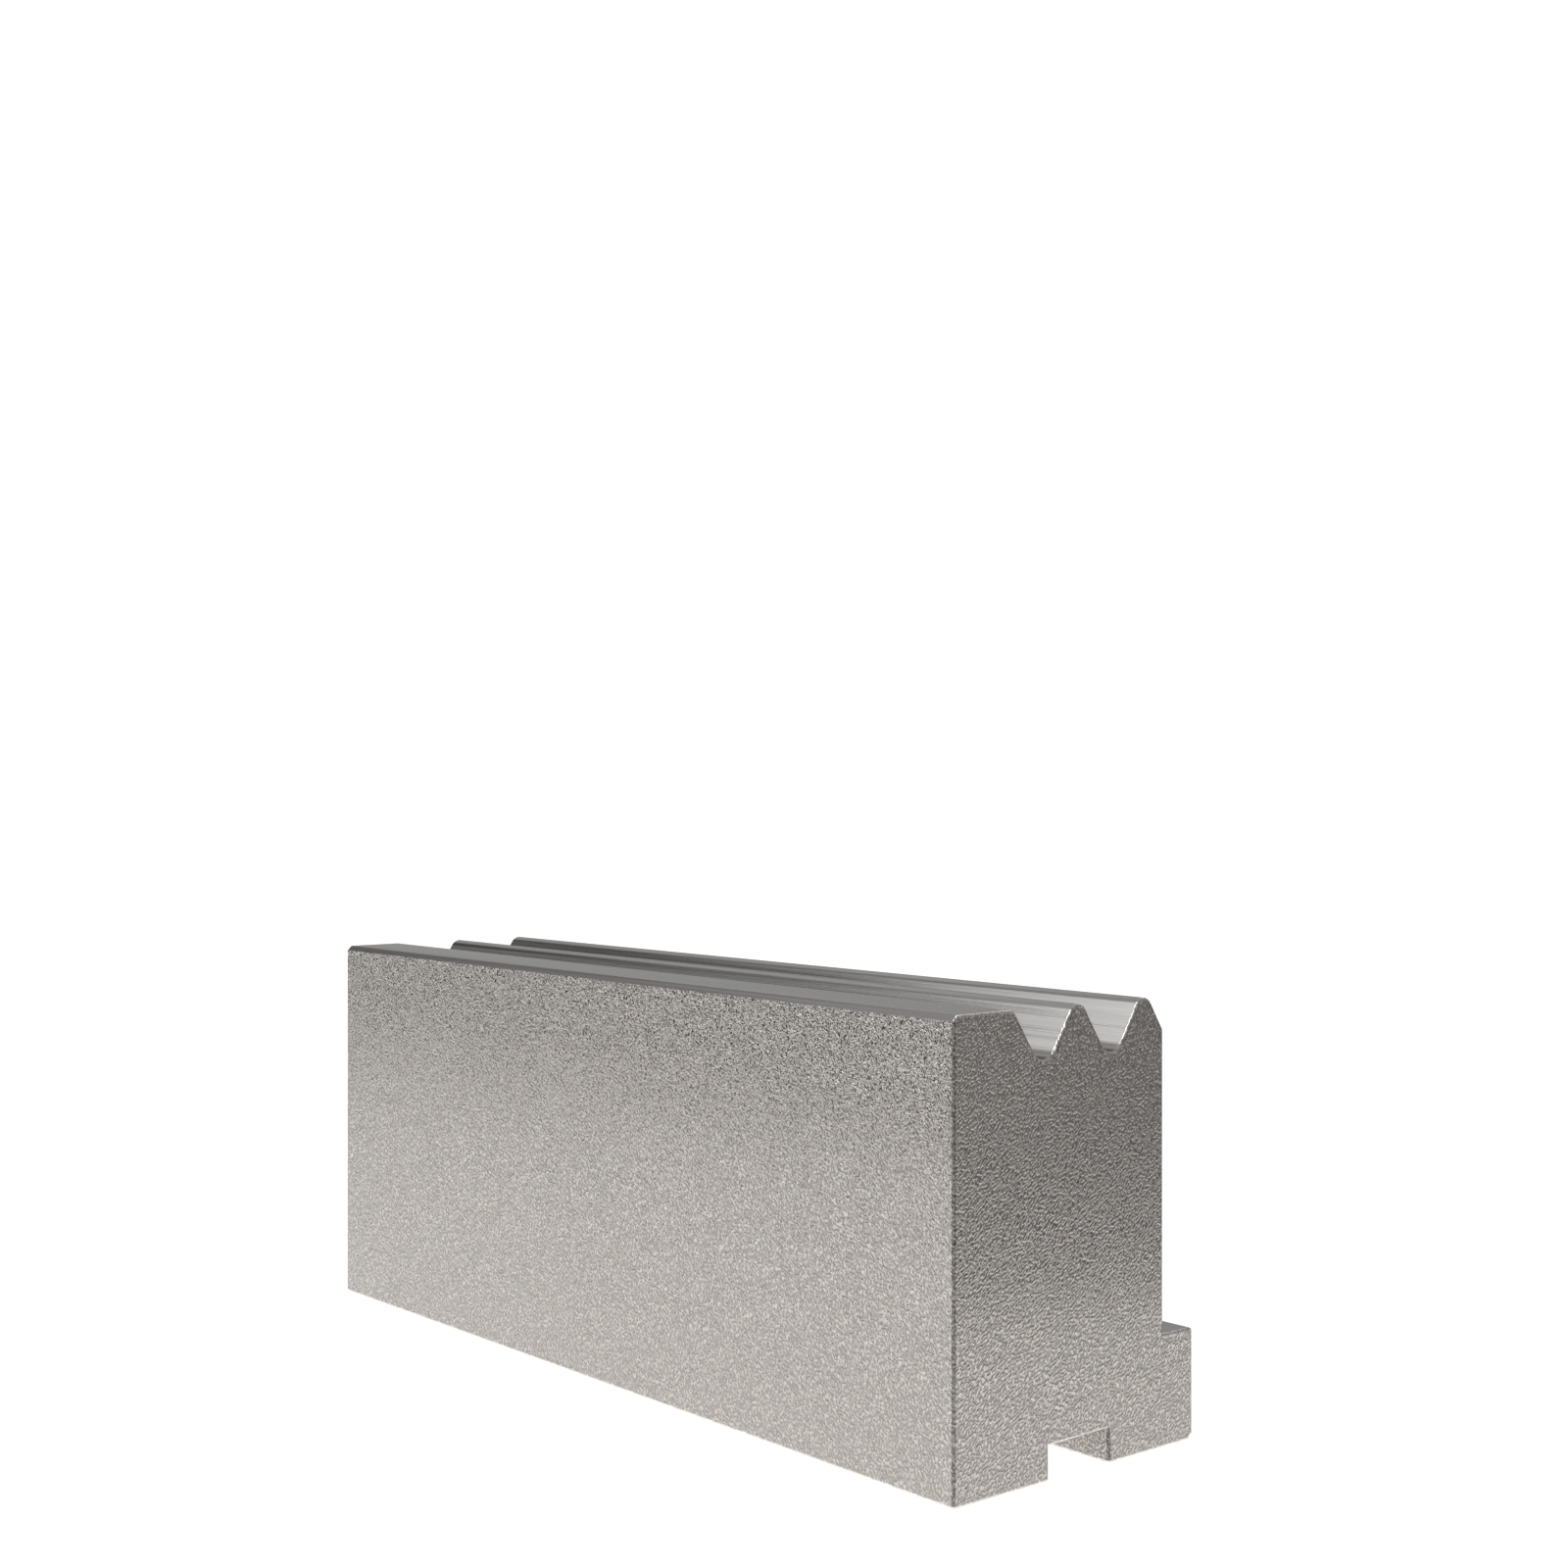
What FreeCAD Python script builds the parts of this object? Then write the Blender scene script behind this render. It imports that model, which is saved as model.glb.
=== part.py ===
"""Press brake die with two rounded V grooves, for bending sheet into waves.

The die is one ground bar of tool steel. Its section, drawn in the YZ plane,
is extruded along X, and the edges round both end faces are then rounded.

Frame: +X along the die, -Y to the flat front face, +Y to the clamping heel,
+Z up. The origin is the middle of the base, on the face that the die rests on.
Millimetres.
"""
import FreeCAD, Part
import math
import os

from FreeCAD import Vector

# Bar
LENGTH = 200.0
HEIGHT = 80.0

# Working profile, from the front face to the back face
FRONT_LAND = 13.0  # flat land, up to where its shoulder starts to fall
GROOVE_COUNT = 2
GROOVE_PITCH = 17.0
V_ANGLE = 66.0  # between the two flanks of a groove, in degrees
GROOVE_RADIUS = 3.0
CREST_RADIUS = 2.2
SHOULDER_RADIUS = 2.2
BACK_REACH = 5.0  # from the last crest to the back face

# Clamping heel along the foot of the back face
HEEL_REACH = 8.0
HEEL_HEIGHT = 20.0

# Locating slot along the middle of the base
SLOT_WIDTH = 15.0
SLOT_DEPTH = 6.0

# Edges
CORNER_CHAMFER = 1.0  # front edge of the land and lower edge of the heel
EDGE_ROUND = 0.5  # every other outer edge, along the die and round its ends

BODY_WIDTH = FRONT_LAND + GROOVE_COUNT * GROOVE_PITCH + BACK_REACH
BASE_WIDTH = BODY_WIDTH + HEEL_REACH
FRONT_Y = -BASE_WIDTH / 2
BACK_Y = FRONT_Y + BODY_WIDTH
HEEL_Y = FRONT_Y + BASE_WIDTH


def sharp(y, z):
    """A corner of the section left sharp."""
    return Vector(0, y, z), None, 0.0


def rounded(y, z, radius):
    """A corner of the section with an arc tangent to both its sides."""
    return Vector(0, y, z), "round", radius


def chamfered(y, z, leg):
    """A corner of the section cut off by the same leg on both its sides."""
    return Vector(0, y, z), "chamfer", leg


def working_corners():
    """Corners of the working profile, from the front face to the back face.

    The flanks are straight lines that meet in points above the crests and
    below the grooves, and each radius rounds one such point. The crests
    reach the height of the land.
    """
    flank = math.radians(90 - V_ANGLE / 2)  # slope of a flank from level
    rise = GROOVE_PITCH / 2 * math.tan(flank)
    crest_point = HEIGHT + CREST_RADIUS * (1 / math.cos(flank) - 1)
    groove_point = crest_point - rise
    first_groove = FRONT_Y + FRONT_LAND + GROOVE_PITCH / 2
    shoulder = first_groove - (HEIGHT - groove_point) / math.tan(flank)

    corners = [
        chamfered(FRONT_Y, HEIGHT, CORNER_CHAMFER),
        rounded(shoulder, HEIGHT, SHOULDER_RADIUS),
    ]
    for index in range(GROOVE_COUNT):
        groove = first_groove + index * GROOVE_PITCH
        crest = groove + GROOVE_PITCH / 2
        corners.append(rounded(groove, groove_point, GROOVE_RADIUS))
        corners.append(rounded(crest, crest_point, CREST_RADIUS))
    back_edge = crest_point - BACK_REACH * math.tan(flank)
    corners.append(rounded(BACK_Y, back_edge, EDGE_ROUND))
    return corners


def foot_corners():
    """Corners of the heel, base and slot, from the back face to the front."""
    slot = SLOT_WIDTH / 2
    return [
        sharp(BACK_Y, HEEL_HEIGHT),
        rounded(HEEL_Y, HEEL_HEIGHT, EDGE_ROUND),
        chamfered(HEEL_Y, 0, CORNER_CHAMFER),
        rounded(slot, 0, EDGE_ROUND),
        sharp(slot, SLOT_DEPTH),
        sharp(-slot, SLOT_DEPTH),
        rounded(-slot, 0, EDGE_ROUND),
        rounded(FRONT_Y, 0, EDGE_ROUND),
    ]


def cut_corner(before, corner, after):
    """Where a corner's blend leaves its two sides, and the blend's edge."""
    point, blend, size = corner
    if blend is None:
        return point, point, None
    to_before = (before - point).normalize()
    to_after = (after - point).normalize()
    half_angle = to_before.getAngle(to_after) / 2
    setback = size
    if blend == "round":
        setback = size / math.tan(half_angle)
    start = point + to_before * setback
    end = point + to_after * setback
    if blend == "chamfer":
        return start, end, Part.makeLine(start, end)
    to_centre = (to_before + to_after).normalize()
    reach = size / math.sin(half_angle) - size
    middle = point + to_centre * reach
    return start, end, Part.Arc(start, middle, end).toShape()


def section_face(corners):
    """The section, as a face bounded by straight sides and corner blends."""
    points = [corner[0] for corner in corners]
    cuts = []
    for index, corner in enumerate(corners):
        after = points[(index + 1) % len(points)]
        cuts.append(cut_corner(points[index - 1], corner, after))
    edges = []
    for index, (start, end, blend_edge) in enumerate(cuts):
        if blend_edge is not None:
            edges.append(blend_edge)
        next_start = cuts[(index + 1) % len(cuts)][0]
        edges.append(Part.makeLine(end, next_start))
    return Part.Face(Part.Wire(edges))


def end_edges(bar):
    """The edges that bound the two end faces of the bar."""
    ends = [face for face in bar.Faces if abs(face.normalAt(0, 0).x) > 0.99]
    return [edge for face in ends for edge in face.Edges]


def make_die():
    section = section_face(working_corners() + foot_corners())
    section.translate(Vector(-LENGTH / 2, 0, 0))
    bar = section.extrude(Vector(LENGTH, 0, 0))
    return bar.makeFillet(EDGE_ROUND, end_edges(bar))


die = make_die()
os.makedirs("parts", exist_ok=True)
die.exportStep("parts/die.step")
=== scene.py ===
"""The looks of a press brake die with two rounded V grooves.

The die is one bar of tool steel. Here its section is drawn again with the
solid's own sizes, and dressed in four finishes: pebbled steel on the upright
faces, with painted shade in its pits, ground steel on the faces that seat,
clamp and form, and on the rounded edges a bright steel, partly rubbed wear and
partly painted highlight, or a dark painted shade where they stand upright.

Metres. +X runs along the die, -Y faces the front, +Z is up, and the origin is
the middle of the base.
"""

import math

import bmesh
import bpy
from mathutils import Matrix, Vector


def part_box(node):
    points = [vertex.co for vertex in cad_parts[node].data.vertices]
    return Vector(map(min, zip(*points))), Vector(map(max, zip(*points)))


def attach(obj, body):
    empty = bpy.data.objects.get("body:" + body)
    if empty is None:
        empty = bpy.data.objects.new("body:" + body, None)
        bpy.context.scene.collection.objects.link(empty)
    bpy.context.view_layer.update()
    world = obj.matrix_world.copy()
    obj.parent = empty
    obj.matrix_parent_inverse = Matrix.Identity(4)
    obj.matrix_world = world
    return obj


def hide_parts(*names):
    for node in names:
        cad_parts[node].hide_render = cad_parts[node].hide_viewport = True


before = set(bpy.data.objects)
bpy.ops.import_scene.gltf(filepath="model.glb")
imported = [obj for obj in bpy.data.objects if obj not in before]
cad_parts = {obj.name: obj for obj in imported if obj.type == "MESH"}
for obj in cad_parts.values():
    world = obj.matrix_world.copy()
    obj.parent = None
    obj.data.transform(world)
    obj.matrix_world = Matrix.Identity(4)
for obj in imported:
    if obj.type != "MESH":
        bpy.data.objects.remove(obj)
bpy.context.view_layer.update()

MM = 0.001

# The bar, from the frame
LOW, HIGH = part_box("die")
LENGTH = HIGH.x - LOW.x
HEIGHT = HIGH.z
FRONT_Y = LOW.y
HEEL_Y = HIGH.y

# Working profile
FRONT_LAND = 13 * MM
GROOVE_COUNT = 2
GROOVE_PITCH = 17 * MM
V_ANGLE = math.radians(66)
GROOVE_RADIUS = 3 * MM
CREST_RADIUS = 2.2 * MM
SHOULDER_RADIUS = 2.2 * MM

# Heel along the foot of the back, and slot along the base
HEEL_REACH = 8 * MM
HEEL_HEIGHT = 20 * MM
SLOT_WIDTH = 15 * MM
SLOT_DEPTH = 6 * MM
BACK_Y = HEEL_Y - HEEL_REACH

# Order of the finishes on the bar. The last two are on the rounded edges: a bright one,
# partly rubbed wear and partly painted highlight, and a dark one that is painted shade on the
# upright edges.
PEBBLED, GROUND, RUBBED_HIGHLIGHT, SHADED_EDGE = range(4)

# Edges
CORNER_CHAMFER = 1 * MM
EDGE_ROUND = 0.5 * MM
ARC_STEP = math.radians(5)
EDGE_SEGMENTS = 5
SQUARE_TURN = math.radians(60)  # the least turn of a corner that is rounded
BACK_TURN = math.radians(30)  # the same at the top of the back
CREASE_TURN = math.radians(25)  # the least turn that is shaded as a sharp edge
TOUCH = EDGE_ROUND / 10
WELD = EDGE_ROUND / 50

# How far a face's normal leans, by which its finish is chosen
GROUND_LEAST_UP = 0.3
GROUND_MOST_ALONG = 0.2
UPRIGHT_MOST_UP = 0.1

# Finishes
STEEL_COLOUR = (0.61, 0.574, 0.538, 1)
# darker colour of the pebbles' pits: painted shade in the hollows
PIT_SHADE_COLOUR = (0.39, 0.367, 0.344, 1)
# bright edge colour: partly rubbed wear, partly painted highlight on the roundings that are
# not upright
RUBBED_HIGHLIGHT_COLOUR = (0.88, 0.85, 0.82, 1)
# dark colours of the upright roundings: painted shade
EDGE_SHADE_COLOUR = (0.4, 0.376, 0.353, 1)
EDGE_SHADE_PIT_COLOUR = (0.16, 0.15, 0.141, 1)
GROUND_COLOUR = (0.5, 0.49, 0.48, 1)
GROUND_LOW_COLOUR = (0.38, 0.372, 0.365, 1)
GROUND_GLANCE = (0.35, 0.35, 0.35, 1)  # how much of a grazing reflection is left
STEEL_ROUGHNESS = 0.16
RUBBED_HIGHLIGHT_ROUGHNESS = 0.22
SHADED_EDGE_ROUGHNESS = 0.3
GROUND_ROUGHNESS = (0.24, 0.38)
PEBBLE_DEPTH = 0.11 * MM
RUBBED_HIGHLIGHT_DEPTH = 0.5 * PEBBLE_DEPTH
PEBBLE_SCALE = 2800.0
PEBBLE_WARP = 0.25
PEBBLE_WIDTH = 0.8
PEBBLE_RANGE = (0.3, 0.7)  # the part of the noise that runs from pit to crest
PEBBLE_GRAIN = (1, -1, -1.8)  # the pebbles run this way, aslant on every upright face
PEBBLE_STRETCH = 3
GRINDING_LINES = (25, 5200, 5200)
GRINDING_PASSES = (6, 900, 900)
GRINDING_DETAIL = 2.0
GRINDING_DEPTH = 0.012 * MM
GRINDING_RANGE = (0.7, 1.3)
POLISH_RANGE = (0.3, 0.7)

# Camera: level, a little above the die, off its +X end and in front of it
CAMERA_PLACE = (0.351751, -0.278025, 0.117533)
CAMERA_TURN = 49.881  # degrees from looking along +Y
LENS_MM = 50
SENSOR_MM = 36
NEAREST = 0.01

# Set: brightness of its parts, where 1 is white. The studio's goes round the
# camera: degrees to the right of straight ahead, and the brightness there.
BACKDROP = 1.05
STUDIO = (
    (-180, 0.25), (-130, 0.25), (-105, 0.65), (-88, 0.87), (-68, 0.03), (-46, 0.08),
    (-30, 1), (22, 1), (28, 0.15), (45, 0.14), (60, 0.42), (74, 0.42), (88, 0.22),
    (120, 0.2), (180, 0.25),
)
CEILING = 0.3
CEILING_RISE = (0.6, 0.85)  # upward part of the directions where walls become ceiling
FLOOR_TONE = 0.42
FLOOR_GLOW = 0.87
FLOOR_SIZE = 60

# Softbox, to the left in front of the die
SOFTBOX_PLACE = (-0.5, -0.9, 1.1)
SOFTBOX_AIM = (0, 0, 0.04)
SOFTBOX_SIZE = (1.0, 1.0)
SOFTBOX_POWER = 7


# ---------------------------------------------------------------- the bar


def sharp(y, z):
    """A corner left sharp, or rounded with the other outer edges later."""
    return Vector((0, y, z)), 0.0


def rounded(y, z, radius):
    """A corner with an arc tangent to both its sides."""
    return Vector((0, y, z)), radius


def section_corners():
    """Corners of the section, round from the front face over the top."""
    flank = math.pi / 2 - V_ANGLE / 2
    crest_point = HEIGHT + CREST_RADIUS * (1 / math.cos(flank) - 1)
    groove_point = crest_point - GROOVE_PITCH / 2 * math.tan(flank)
    first_groove = FRONT_Y + FRONT_LAND + GROOVE_PITCH / 2
    shoulder = first_groove - (HEIGHT - groove_point) / math.tan(flank)
    slot = SLOT_WIDTH / 2

    corners = [
        sharp(FRONT_Y, HEIGHT - CORNER_CHAMFER),
        sharp(FRONT_Y + CORNER_CHAMFER, HEIGHT),
        rounded(shoulder, HEIGHT, SHOULDER_RADIUS),
    ]
    for index in range(GROOVE_COUNT):
        groove = first_groove + index * GROOVE_PITCH
        crest = groove + GROOVE_PITCH / 2
        corners.append(rounded(groove, groove_point, GROOVE_RADIUS))
        corners.append(rounded(crest, crest_point, CREST_RADIUS))
    back_edge = crest_point - (BACK_Y - crest) * math.tan(flank)
    corners += [
        sharp(BACK_Y, back_edge),
        sharp(BACK_Y, HEEL_HEIGHT),
        sharp(HEEL_Y, HEEL_HEIGHT),
        sharp(HEEL_Y, CORNER_CHAMFER),
        sharp(HEEL_Y - CORNER_CHAMFER, 0),
        sharp(slot, 0),
        sharp(slot, SLOT_DEPTH),
        sharp(-slot, SLOT_DEPTH),
        sharp(-slot, 0),
        sharp(FRONT_Y, 0),
    ]
    return corners


def draw_corner(bm, before, corner, after):
    """Adds a corner's vertex, or spins its arc. Returns its two end vertices."""
    point, radius = corner
    if not radius:
        vertex = bm.verts.new(point)
        return vertex, vertex
    to_before = (before - point).normalized()
    to_after = (after - point).normalized()
    half = to_before.angle(to_after) / 2
    centre = point + (to_before + to_after).normalized() * radius / math.sin(half)
    start = bm.verts.new(point + to_before * radius / math.tan(half))
    turn = math.pi - 2 * half
    axis = to_before.cross(to_after).normalized()
    spun = bmesh.ops.spin(
        bm, geom=[start], cent=centre, axis=-axis, angle=turn,
        steps=max(2, round(turn / ARC_STEP)), use_duplicate=False,
    )
    end = [item for item in spun["geom_last"] if isinstance(item, bmesh.types.BMVert)]
    return start, end[0]


def draw_section(bm, corners):
    """Joins the corners with straight sides and fills the section."""
    points = [point for point, _ in corners]
    ends = []
    for index, corner in enumerate(corners):
        after = points[(index + 1) % len(points)]
        ends.append(draw_corner(bm, points[index - 1], corner, after))
    for index, (_, last) in enumerate(ends):
        bm.edges.new((last, ends[(index + 1) % len(ends)][0]))
    bmesh.ops.contextual_create(bm, geom=bm.edges[:])


def is_outer_edge(edge):
    """True for an edge that the grinder rounds: all round both ends, and the
    square outer corners along the bar."""
    at_end = [abs(abs(vert.co.x) - LENGTH / 2) < TOUCH for vert in edge.verts]
    along = abs(edge.verts[0].co.x - edge.verts[1].co.x) > LENGTH / 2
    if not along:
        return all(at_end)
    turn = edge.calc_face_angle_signed(0)
    is_back_edge = abs(edge.verts[0].co.y - BACK_Y) < TOUCH
    return turn > (BACK_TURN if is_back_edge else SQUARE_TURN)


def is_ground(face):
    """True for the faces that seat, clamp or form: the ones turned up or down."""
    normal = face.normal
    return abs(normal.x) < GROUND_MOST_ALONG and abs(normal.z) > GROUND_LEAST_UP


def is_upright(face):
    return abs(face.normal.z) < UPRIGHT_MOST_UP


def make_bar():
    bm = bmesh.new()
    draw_section(bm, section_corners())
    bmesh.ops.translate(bm, verts=bm.verts, vec=(-LENGTH / 2, 0, 0))
    pulled = bmesh.ops.extrude_face_region(bm, geom=bm.faces[:])
    moved = [item for item in pulled["geom"] if isinstance(item, bmesh.types.BMVert)]
    bmesh.ops.translate(bm, verts=moved, vec=(LENGTH, 0, 0))
    bmesh.ops.recalc_face_normals(bm, faces=bm.faces)
    for face in bm.faces:
        face.material_index = GROUND if is_ground(face) else PEBBLED
    outer = [edge for edge in bm.edges if is_outer_edge(edge)]
    rounding = bmesh.ops.bevel(
        bm, geom=outer, offset=EDGE_ROUND, offset_type="OFFSET", segments=EDGE_SEGMENTS,
        profile=0.5, material=-1, affect="EDGES", clamp_overlap=False,
    )
    bm.normal_update()
    # Upright roundings get painted shade; the others get a bright colour that is partly
    # rubbed wear and partly painted highlight.
    for face in rounding["faces"]:
        face.material_index = SHADED_EDGE if is_upright(face) else RUBBED_HIGHLIGHT
    bmesh.ops.remove_doubles(bm, verts=bm.verts, dist=WELD)
    bmesh.ops.recalc_face_normals(bm, faces=bm.faces)
    return bm


def make_die(finishes):
    bm = make_bar()
    for face in bm.faces:
        face.smooth = True
    for edge in bm.edges:
        edge.smooth = edge.calc_face_angle(0) < CREASE_TURN
    mesh = bpy.data.meshes.new("die_bar")
    bm.to_mesh(mesh)
    bm.free()
    for finish in finishes:
        mesh.materials.append(finish)
    bar = bpy.data.objects.new("die_bar", mesh)
    bpy.context.scene.collection.objects.link(bar)
    weighted = bar.modifiers.new("even_normals", "WEIGHTED_NORMAL")
    weighted.keep_sharp = True
    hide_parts("die")
    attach(bar, "root")


# -------------------------------------------------------------- materials


class Nodes:
    """A short way to place and join nodes in one tree."""

    def __init__(self, tree):
        self.tree = tree

    def add(self, kind, inputs=None, **settings):
        node = self.tree.nodes.new(kind)
        for name, value in settings.items():
            setattr(node, name, value)
        for name, value in (inputs or {}).items():
            if isinstance(value, bpy.types.NodeSocket):
                self.tree.links.new(value, node.inputs[name])
            else:
                node.inputs[name].default_value = value
        return node


def new_group(name, inputs, outputs):
    """A node group with named sockets. inputs maps a name to its default."""
    tree = bpy.data.node_groups.new(name, "ShaderNodeTree")
    for socket, value in inputs.items():
        kind = "NodeSocketVector" if value is None else "NodeSocketFloat"
        made = tree.interface.new_socket(socket, in_out="INPUT", socket_type=kind)
        if value is not None:
            made.default_value = value
    for socket, kind in outputs.items():
        tree.interface.new_socket(socket, in_out="OUTPUT", socket_type=kind)
    nodes = Nodes(tree)
    return nodes, nodes.add("NodeGroupInput").outputs, nodes.add("NodeGroupOutput").inputs


def make_pebble_group():
    """Height of a close, worm-like pebble, as a blasted and etched face has."""
    nodes, given, out = new_group(
        "pebble",
        {"Vector": None, "Scale": PEBBLE_SCALE, "Warp": PEBBLE_WARP},
        {"Height": "NodeSocketFloat"},
    )
    turned = nodes.add(
        "ShaderNodeMapping",
        {"Vector": given["Vector"],
         "Rotation": Vector(PEBBLE_GRAIN).to_track_quat("Z", "Y").to_euler(),
         "Scale": (PEBBLE_WIDTH, PEBBLE_WIDTH, PEBBLE_WIDTH * PEBBLE_STRETCH)},
        vector_type="TEXTURE",
    )
    noise = nodes.add(
        "ShaderNodeTexNoise",
        {"Vector": turned.outputs["Vector"], "Scale": given["Scale"], "Detail": 0.0,
         "Distortion": given["Warp"]},
    )
    shaped = nodes.add(
        "ShaderNodeMapRange",
        {"Value": noise.outputs["Fac"], "From Min": PEBBLE_RANGE[0],
         "From Max": PEBBLE_RANGE[1]},
        interpolation_type="SMOOTHSTEP",
    )
    nodes.tree.links.new(shaped.outputs["Result"], out["Height"])
    return nodes.tree


def new_material(name):
    material = bpy.data.materials.new(name)
    material.use_nodes = True
    material.node_tree.nodes.clear()
    return material, Nodes(material.node_tree)


def mix_colour(nodes, factor, low, high):
    mixed = nodes.add("ShaderNodeMix", {"Factor": factor}, data_type="RGBA")
    mixed.inputs[6].default_value = low
    mixed.inputs[7].default_value = high
    return mixed.outputs[2]


def make_pebbled(name, pebble, pit, crest, depth, roughness):
    """Close pebbles of a given depth, with a colour for their pits and crests. A darker pit
    colour is painted shade in the hollows; a bright crest colour is painted highlight.
    """
    material, nodes = new_material(name)
    place = nodes.add("ShaderNodeTexCoord").outputs["Object"]
    grain = nodes.add("ShaderNodeGroup", node_tree=pebble)
    nodes.tree.links.new(place, grain.inputs["Vector"])
    height = grain.outputs["Height"]
    bump = nodes.add("ShaderNodeBump", {"Height": height, "Strength": 1.0, "Distance": depth})
    steel = nodes.add(
        "ShaderNodeBsdfPrincipled",
        {"Base Color": mix_colour(nodes, height, pit, crest), "Metallic": 1.0,
         "Roughness": roughness, "Normal": bump.outputs["Normal"]},
    )
    nodes.add("ShaderNodeOutputMaterial", {"Surface": steel.outputs["BSDF"]})
    return material


def add_streaks(nodes, place, scale):
    """Noise drawn out along the bar. scale is how fine it is along X, Y and Z."""
    drawn = nodes.add("ShaderNodeMapping", {"Vector": place, "Scale": scale})
    return nodes.add(
        "ShaderNodeTexNoise",
        {"Vector": drawn.outputs["Vector"], "Scale": 1.0, "Detail": GRINDING_DETAIL},
    ).outputs["Fac"]


def make_ground_steel():
    """Seats and working profile: fine grinding lines along the bar, gathered
    here and there into broader passes of the wheel."""
    material, nodes = new_material("ground_steel")
    place = nodes.add("ShaderNodeTexCoord").outputs["Object"]
    fine = add_streaks(nodes, place, GRINDING_LINES)
    broad = add_streaks(nodes, place, GRINDING_PASSES)
    both = nodes.add("ShaderNodeMath", {0: fine, 1: broad})
    lines = nodes.add(
        "ShaderNodeMapRange",
        {"Value": both.outputs[0], "From Min": GRINDING_RANGE[0],
         "From Max": GRINDING_RANGE[1]},
    ).outputs["Result"]
    bump = nodes.add(
        "ShaderNodeBump", {"Height": lines, "Strength": 1.0, "Distance": GRINDING_DEPTH}
    )
    polish = nodes.add(
        "ShaderNodeMapRange",
        {"Value": broad, "From Min": POLISH_RANGE[0], "From Max": POLISH_RANGE[1],
         "To Min": GROUND_ROUGHNESS[0], "To Max": GROUND_ROUGHNESS[1]},
    )
    steel = nodes.add(
        "ShaderNodeBsdfPrincipled",
        {"Base Color": mix_colour(nodes, lines, GROUND_LOW_COLOUR, GROUND_COLOUR),
         "Specular Tint": GROUND_GLANCE, "Metallic": 1.0,
         "Roughness": polish.outputs["Result"],
         "Normal": bump.outputs["Normal"]},
    )
    nodes.add("ShaderNodeOutputMaterial", {"Surface": steel.outputs["BSDF"]})
    return material


# ---------------------------------------------------------------- the set


def facing(turn):
    """Level direction of a turn in degrees, where 0 looks along +Y."""
    angle = math.radians(turn)
    return Vector((-math.sin(angle), math.cos(angle), 0))


def make_surround_group():
    """Brightness of the studio by direction, the same for its walls and floor."""
    nodes, given, out = new_group(
        "surround", {"Direction": None}, {"Light": "NodeSocketFloat"}
    )
    ahead = nodes.add("ShaderNodeVectorMath", operation="DOT_PRODUCT")
    nodes.tree.links.new(given["Direction"], ahead.inputs[0])
    ahead.inputs[1].default_value = facing(CAMERA_TURN)
    right = nodes.add("ShaderNodeVectorMath", operation="DOT_PRODUCT")
    nodes.tree.links.new(given["Direction"], right.inputs[0])
    right.inputs[1].default_value = facing(CAMERA_TURN - 90)
    turn = nodes.add(
        "ShaderNodeMath", {0: right.outputs["Value"], 1: ahead.outputs["Value"]},
        operation="ARCTAN2",
    )
    place = nodes.add(
        "ShaderNodeMapRange",
        {"Value": turn.outputs[0], "From Min": -math.pi, "From Max": math.pi},
    )
    walls = nodes.add("ShaderNodeValToRGB", {"Fac": place.outputs["Result"]})
    ramp = walls.color_ramp
    ramp.interpolation = "EASE"
    while len(ramp.elements) < len(STUDIO):
        ramp.elements.new(1)
    for element, (angle, light) in zip(ramp.elements, STUDIO):
        element.position = (angle + 180) / 360
        element.color = (light, light, light, 1)
    bright = nodes.add(
        "ShaderNodeMath", {0: walls.outputs["Color"], 1: BACKDROP}, operation="MULTIPLY"
    )
    nodes.tree.links.new(bright.outputs[0], out["Light"])
    return nodes.tree


def make_world(surround):
    world = bpy.data.worlds.new("studio")
    bpy.context.scene.world = world
    world.use_nodes = True
    world.node_tree.nodes.clear()
    nodes = Nodes(world.node_tree)
    direction = nodes.add("ShaderNodeTexCoord").outputs["Generated"]
    walls = nodes.add("ShaderNodeGroup", node_tree=surround)
    nodes.tree.links.new(direction, walls.inputs["Direction"])
    height = nodes.add("ShaderNodeSeparateXYZ", {"Vector": direction})
    up = nodes.add(
        "ShaderNodeMapRange",
        {"Value": height.outputs["Z"], "From Min": CEILING_RISE[0],
         "From Max": CEILING_RISE[1]},
        interpolation_type="SMOOTHSTEP",
    )
    light = nodes.add(
        "ShaderNodeMix",
        {"Factor": up.outputs["Result"], "A": walls.outputs["Light"], "B": CEILING},
    )
    background = nodes.add(
        "ShaderNodeBackground", {"Color": (1, 1, 1, 1), "Strength": light.outputs["Result"]}
    )
    nodes.add("ShaderNodeOutputWorld", {"Surface": background.outputs["Background"]})


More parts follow.
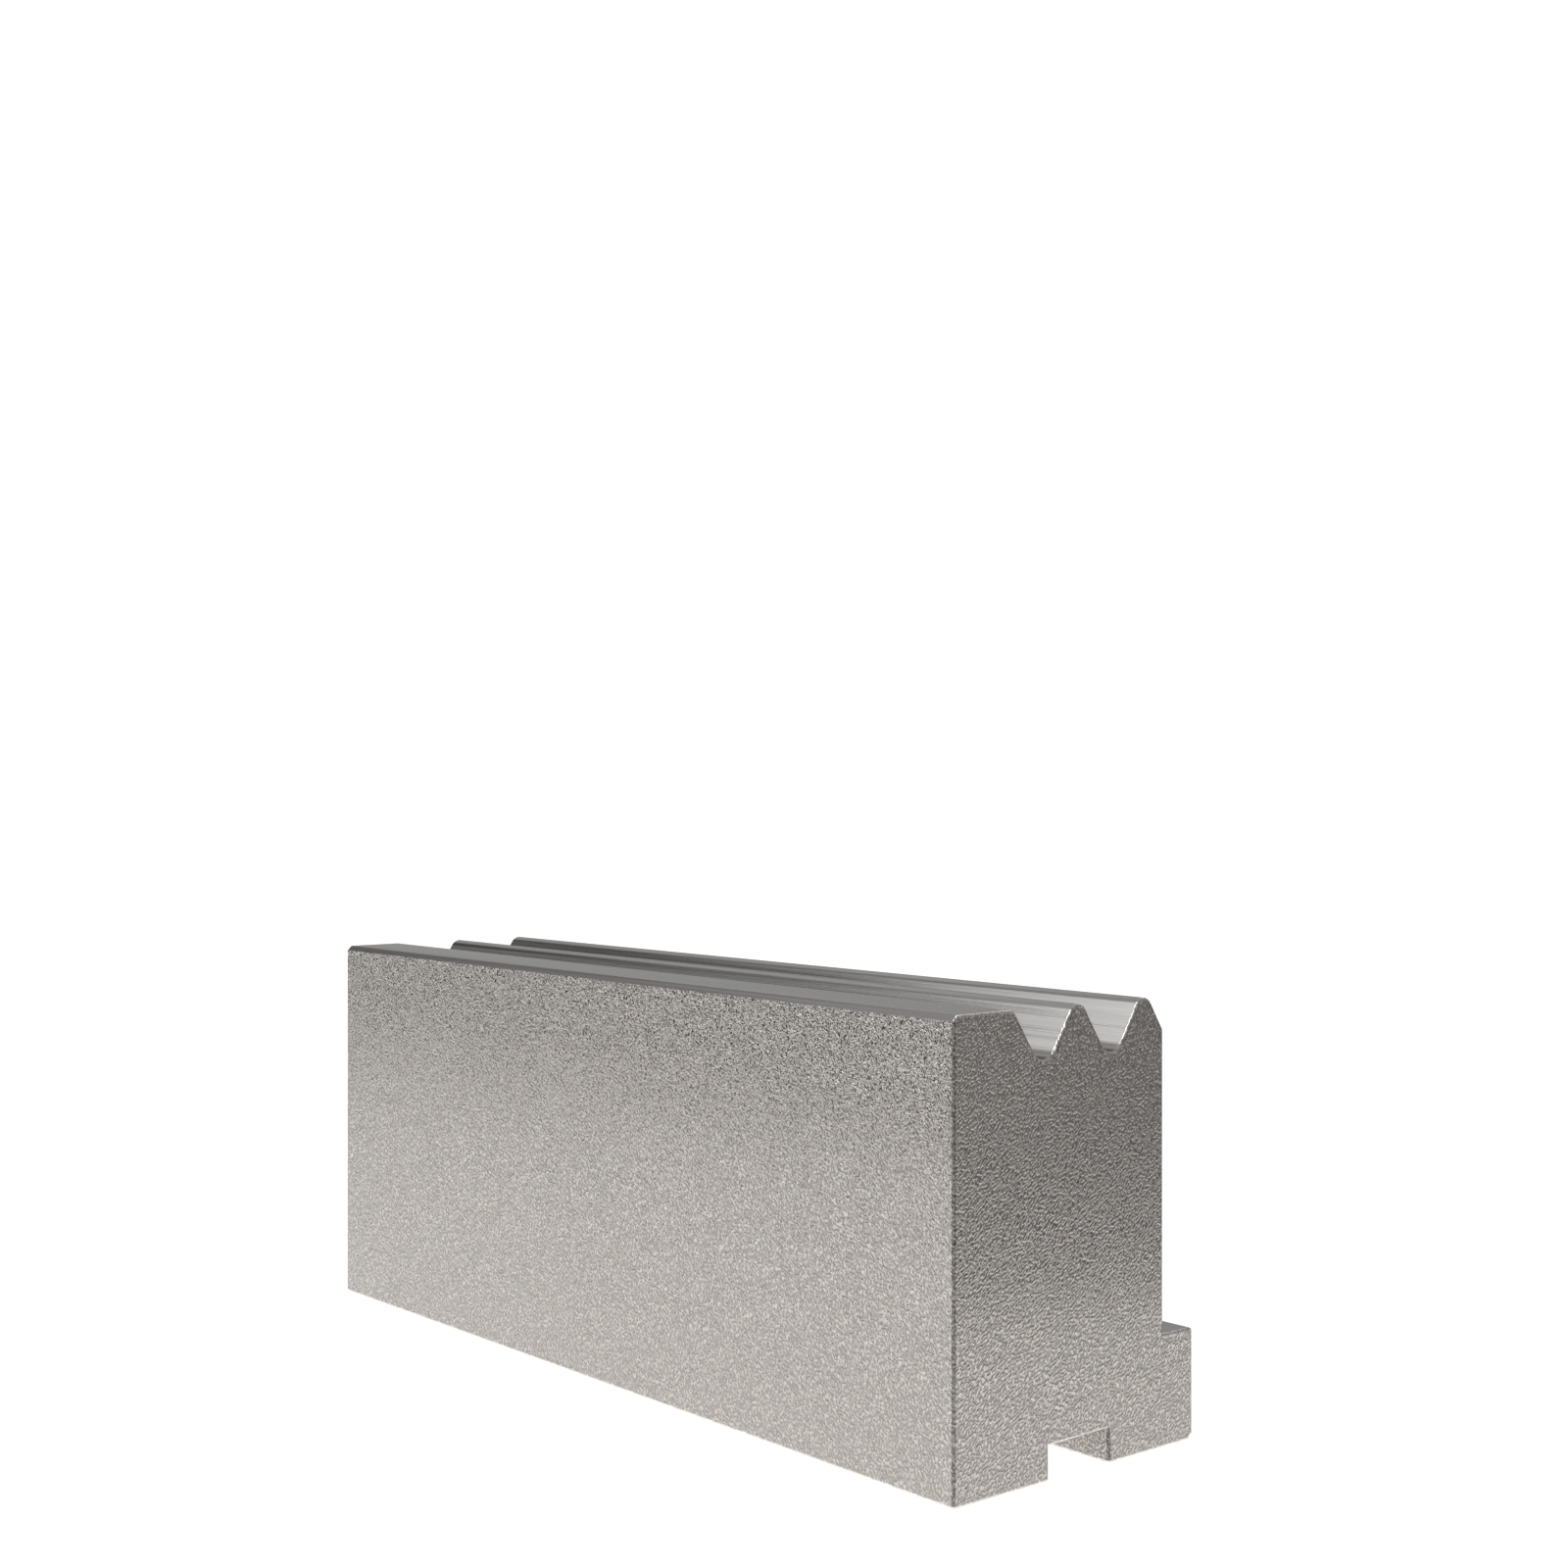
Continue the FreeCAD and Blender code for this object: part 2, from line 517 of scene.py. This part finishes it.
def make_floor(surround):
    """A pale floor that takes the die's soft shadow. Part of its light is its
    own, so that straight ahead of the camera it is as white as the backdrop.
    To the sides it darkens with the studio's walls, as the steel mirrors it."""
    bm = bmesh.new()
    bmesh.ops.create_grid(bm, x_segments=1, y_segments=1, size=FLOOR_SIZE / 2)
    mesh = bpy.data.meshes.new("floor")
    bm.to_mesh(mesh)
    bm.free()
    floor = bpy.data.objects.new("floor", mesh)
    bpy.context.scene.collection.objects.link(floor)
    material, nodes = new_material("pale_floor")
    place = nodes.add("ShaderNodeTexCoord").outputs["Object"]
    away = nodes.add("ShaderNodeVectorMath", {0: place}, operation="SUBTRACT")
    away.inputs[1].default_value = CAMERA_PLACE[:2] + (0,)
    walls = nodes.add("ShaderNodeGroup", node_tree=surround)
    nodes.tree.links.new(away.outputs[0], walls.inputs["Direction"])
    tone = nodes.add(
        "ShaderNodeMath", {0: walls.outputs["Light"], 1: FLOOR_TONE}, operation="MULTIPLY"
    )
    paint = nodes.add("ShaderNodeBsdfDiffuse", {"Color": tone.outputs[0]})
    rays = nodes.add("ShaderNodeLightPath").outputs
    ray = nodes.add("ShaderNodeMath", {0: rays["Is Camera Ray"], 1: rays["Is Glossy Ray"]})
    ray = nodes.add("ShaderNodeMath", {0: ray.outputs[0], 1: rays["Is Transmission Ray"]})
    own = nodes.add(
        "ShaderNodeMath", {0: walls.outputs["Light"], 1: FLOOR_GLOW}, operation="MULTIPLY"
    )
    share = nodes.add(
        "ShaderNodeMath", {0: ray.outputs[0], 1: own.outputs[0]}, operation="MULTIPLY"
    )
    glow = nodes.add("ShaderNodeEmission", {"Strength": share.outputs[0]})
    both = nodes.add("ShaderNodeAddShader", {0: paint.outputs[0], 1: glow.outputs[0]})
    nodes.add("ShaderNodeOutputMaterial", {"Surface": both.outputs[0]})
    material.cycles.emission_sampling = "NONE"
    mesh.materials.append(material)


def add_softbox():
    light = bpy.data.lights.new("softbox", "AREA")
    light.shape = "RECTANGLE"
    light.size, light.size_y = SOFTBOX_SIZE
    light.energy = SOFTBOX_POWER
    lamp = bpy.data.objects.new("softbox", light)
    lamp.location = SOFTBOX_PLACE
    beam = Vector(SOFTBOX_AIM) - Vector(SOFTBOX_PLACE)
    lamp.rotation_euler = beam.to_track_quat("-Z", "Y").to_euler()
    bpy.context.scene.collection.objects.link(lamp)


def make_camera():
    camera = bpy.data.cameras.new("camera")
    camera.lens = LENS_MM
    camera.sensor_width = SENSOR_MM
    camera.clip_start = NEAREST
    camera.clip_end = 2 * FLOOR_SIZE
    holder = bpy.data.objects.new("camera", camera)
    holder.location = CAMERA_PLACE
    holder.rotation_euler = (math.pi / 2, 0, math.radians(CAMERA_TURN))
    bpy.context.scene.collection.objects.link(holder)
    bpy.context.scene.camera = holder


pebble_group = make_pebble_group()
make_die([
    make_pebbled(
        "pebbled_steel", pebble_group, PIT_SHADE_COLOUR, STEEL_COLOUR, PEBBLE_DEPTH,
        STEEL_ROUGHNESS,
    ),
    make_ground_steel(),
    # edges that are not upright: bright crests, partly rubbed wear and partly painted
    # highlight
    make_pebbled(
        "rubbed_highlight_edge", pebble_group, STEEL_COLOUR, RUBBED_HIGHLIGHT_COLOUR, RUBBED_HIGHLIGHT_DEPTH,
        RUBBED_HIGHLIGHT_ROUGHNESS,
    ),
    # upright edges: dark colours that are painted shade
    make_pebbled(
        "painted_shade_edge", pebble_group, EDGE_SHADE_PIT_COLOUR, EDGE_SHADE_COLOUR, PEBBLE_DEPTH,
        SHADED_EDGE_ROUGHNESS,
    ),
])
surround_group = make_surround_group()
make_world(surround_group)
make_floor(surround_group)
add_softbox()
make_camera()
bpy.context.scene.view_settings.view_transform = "Standard"
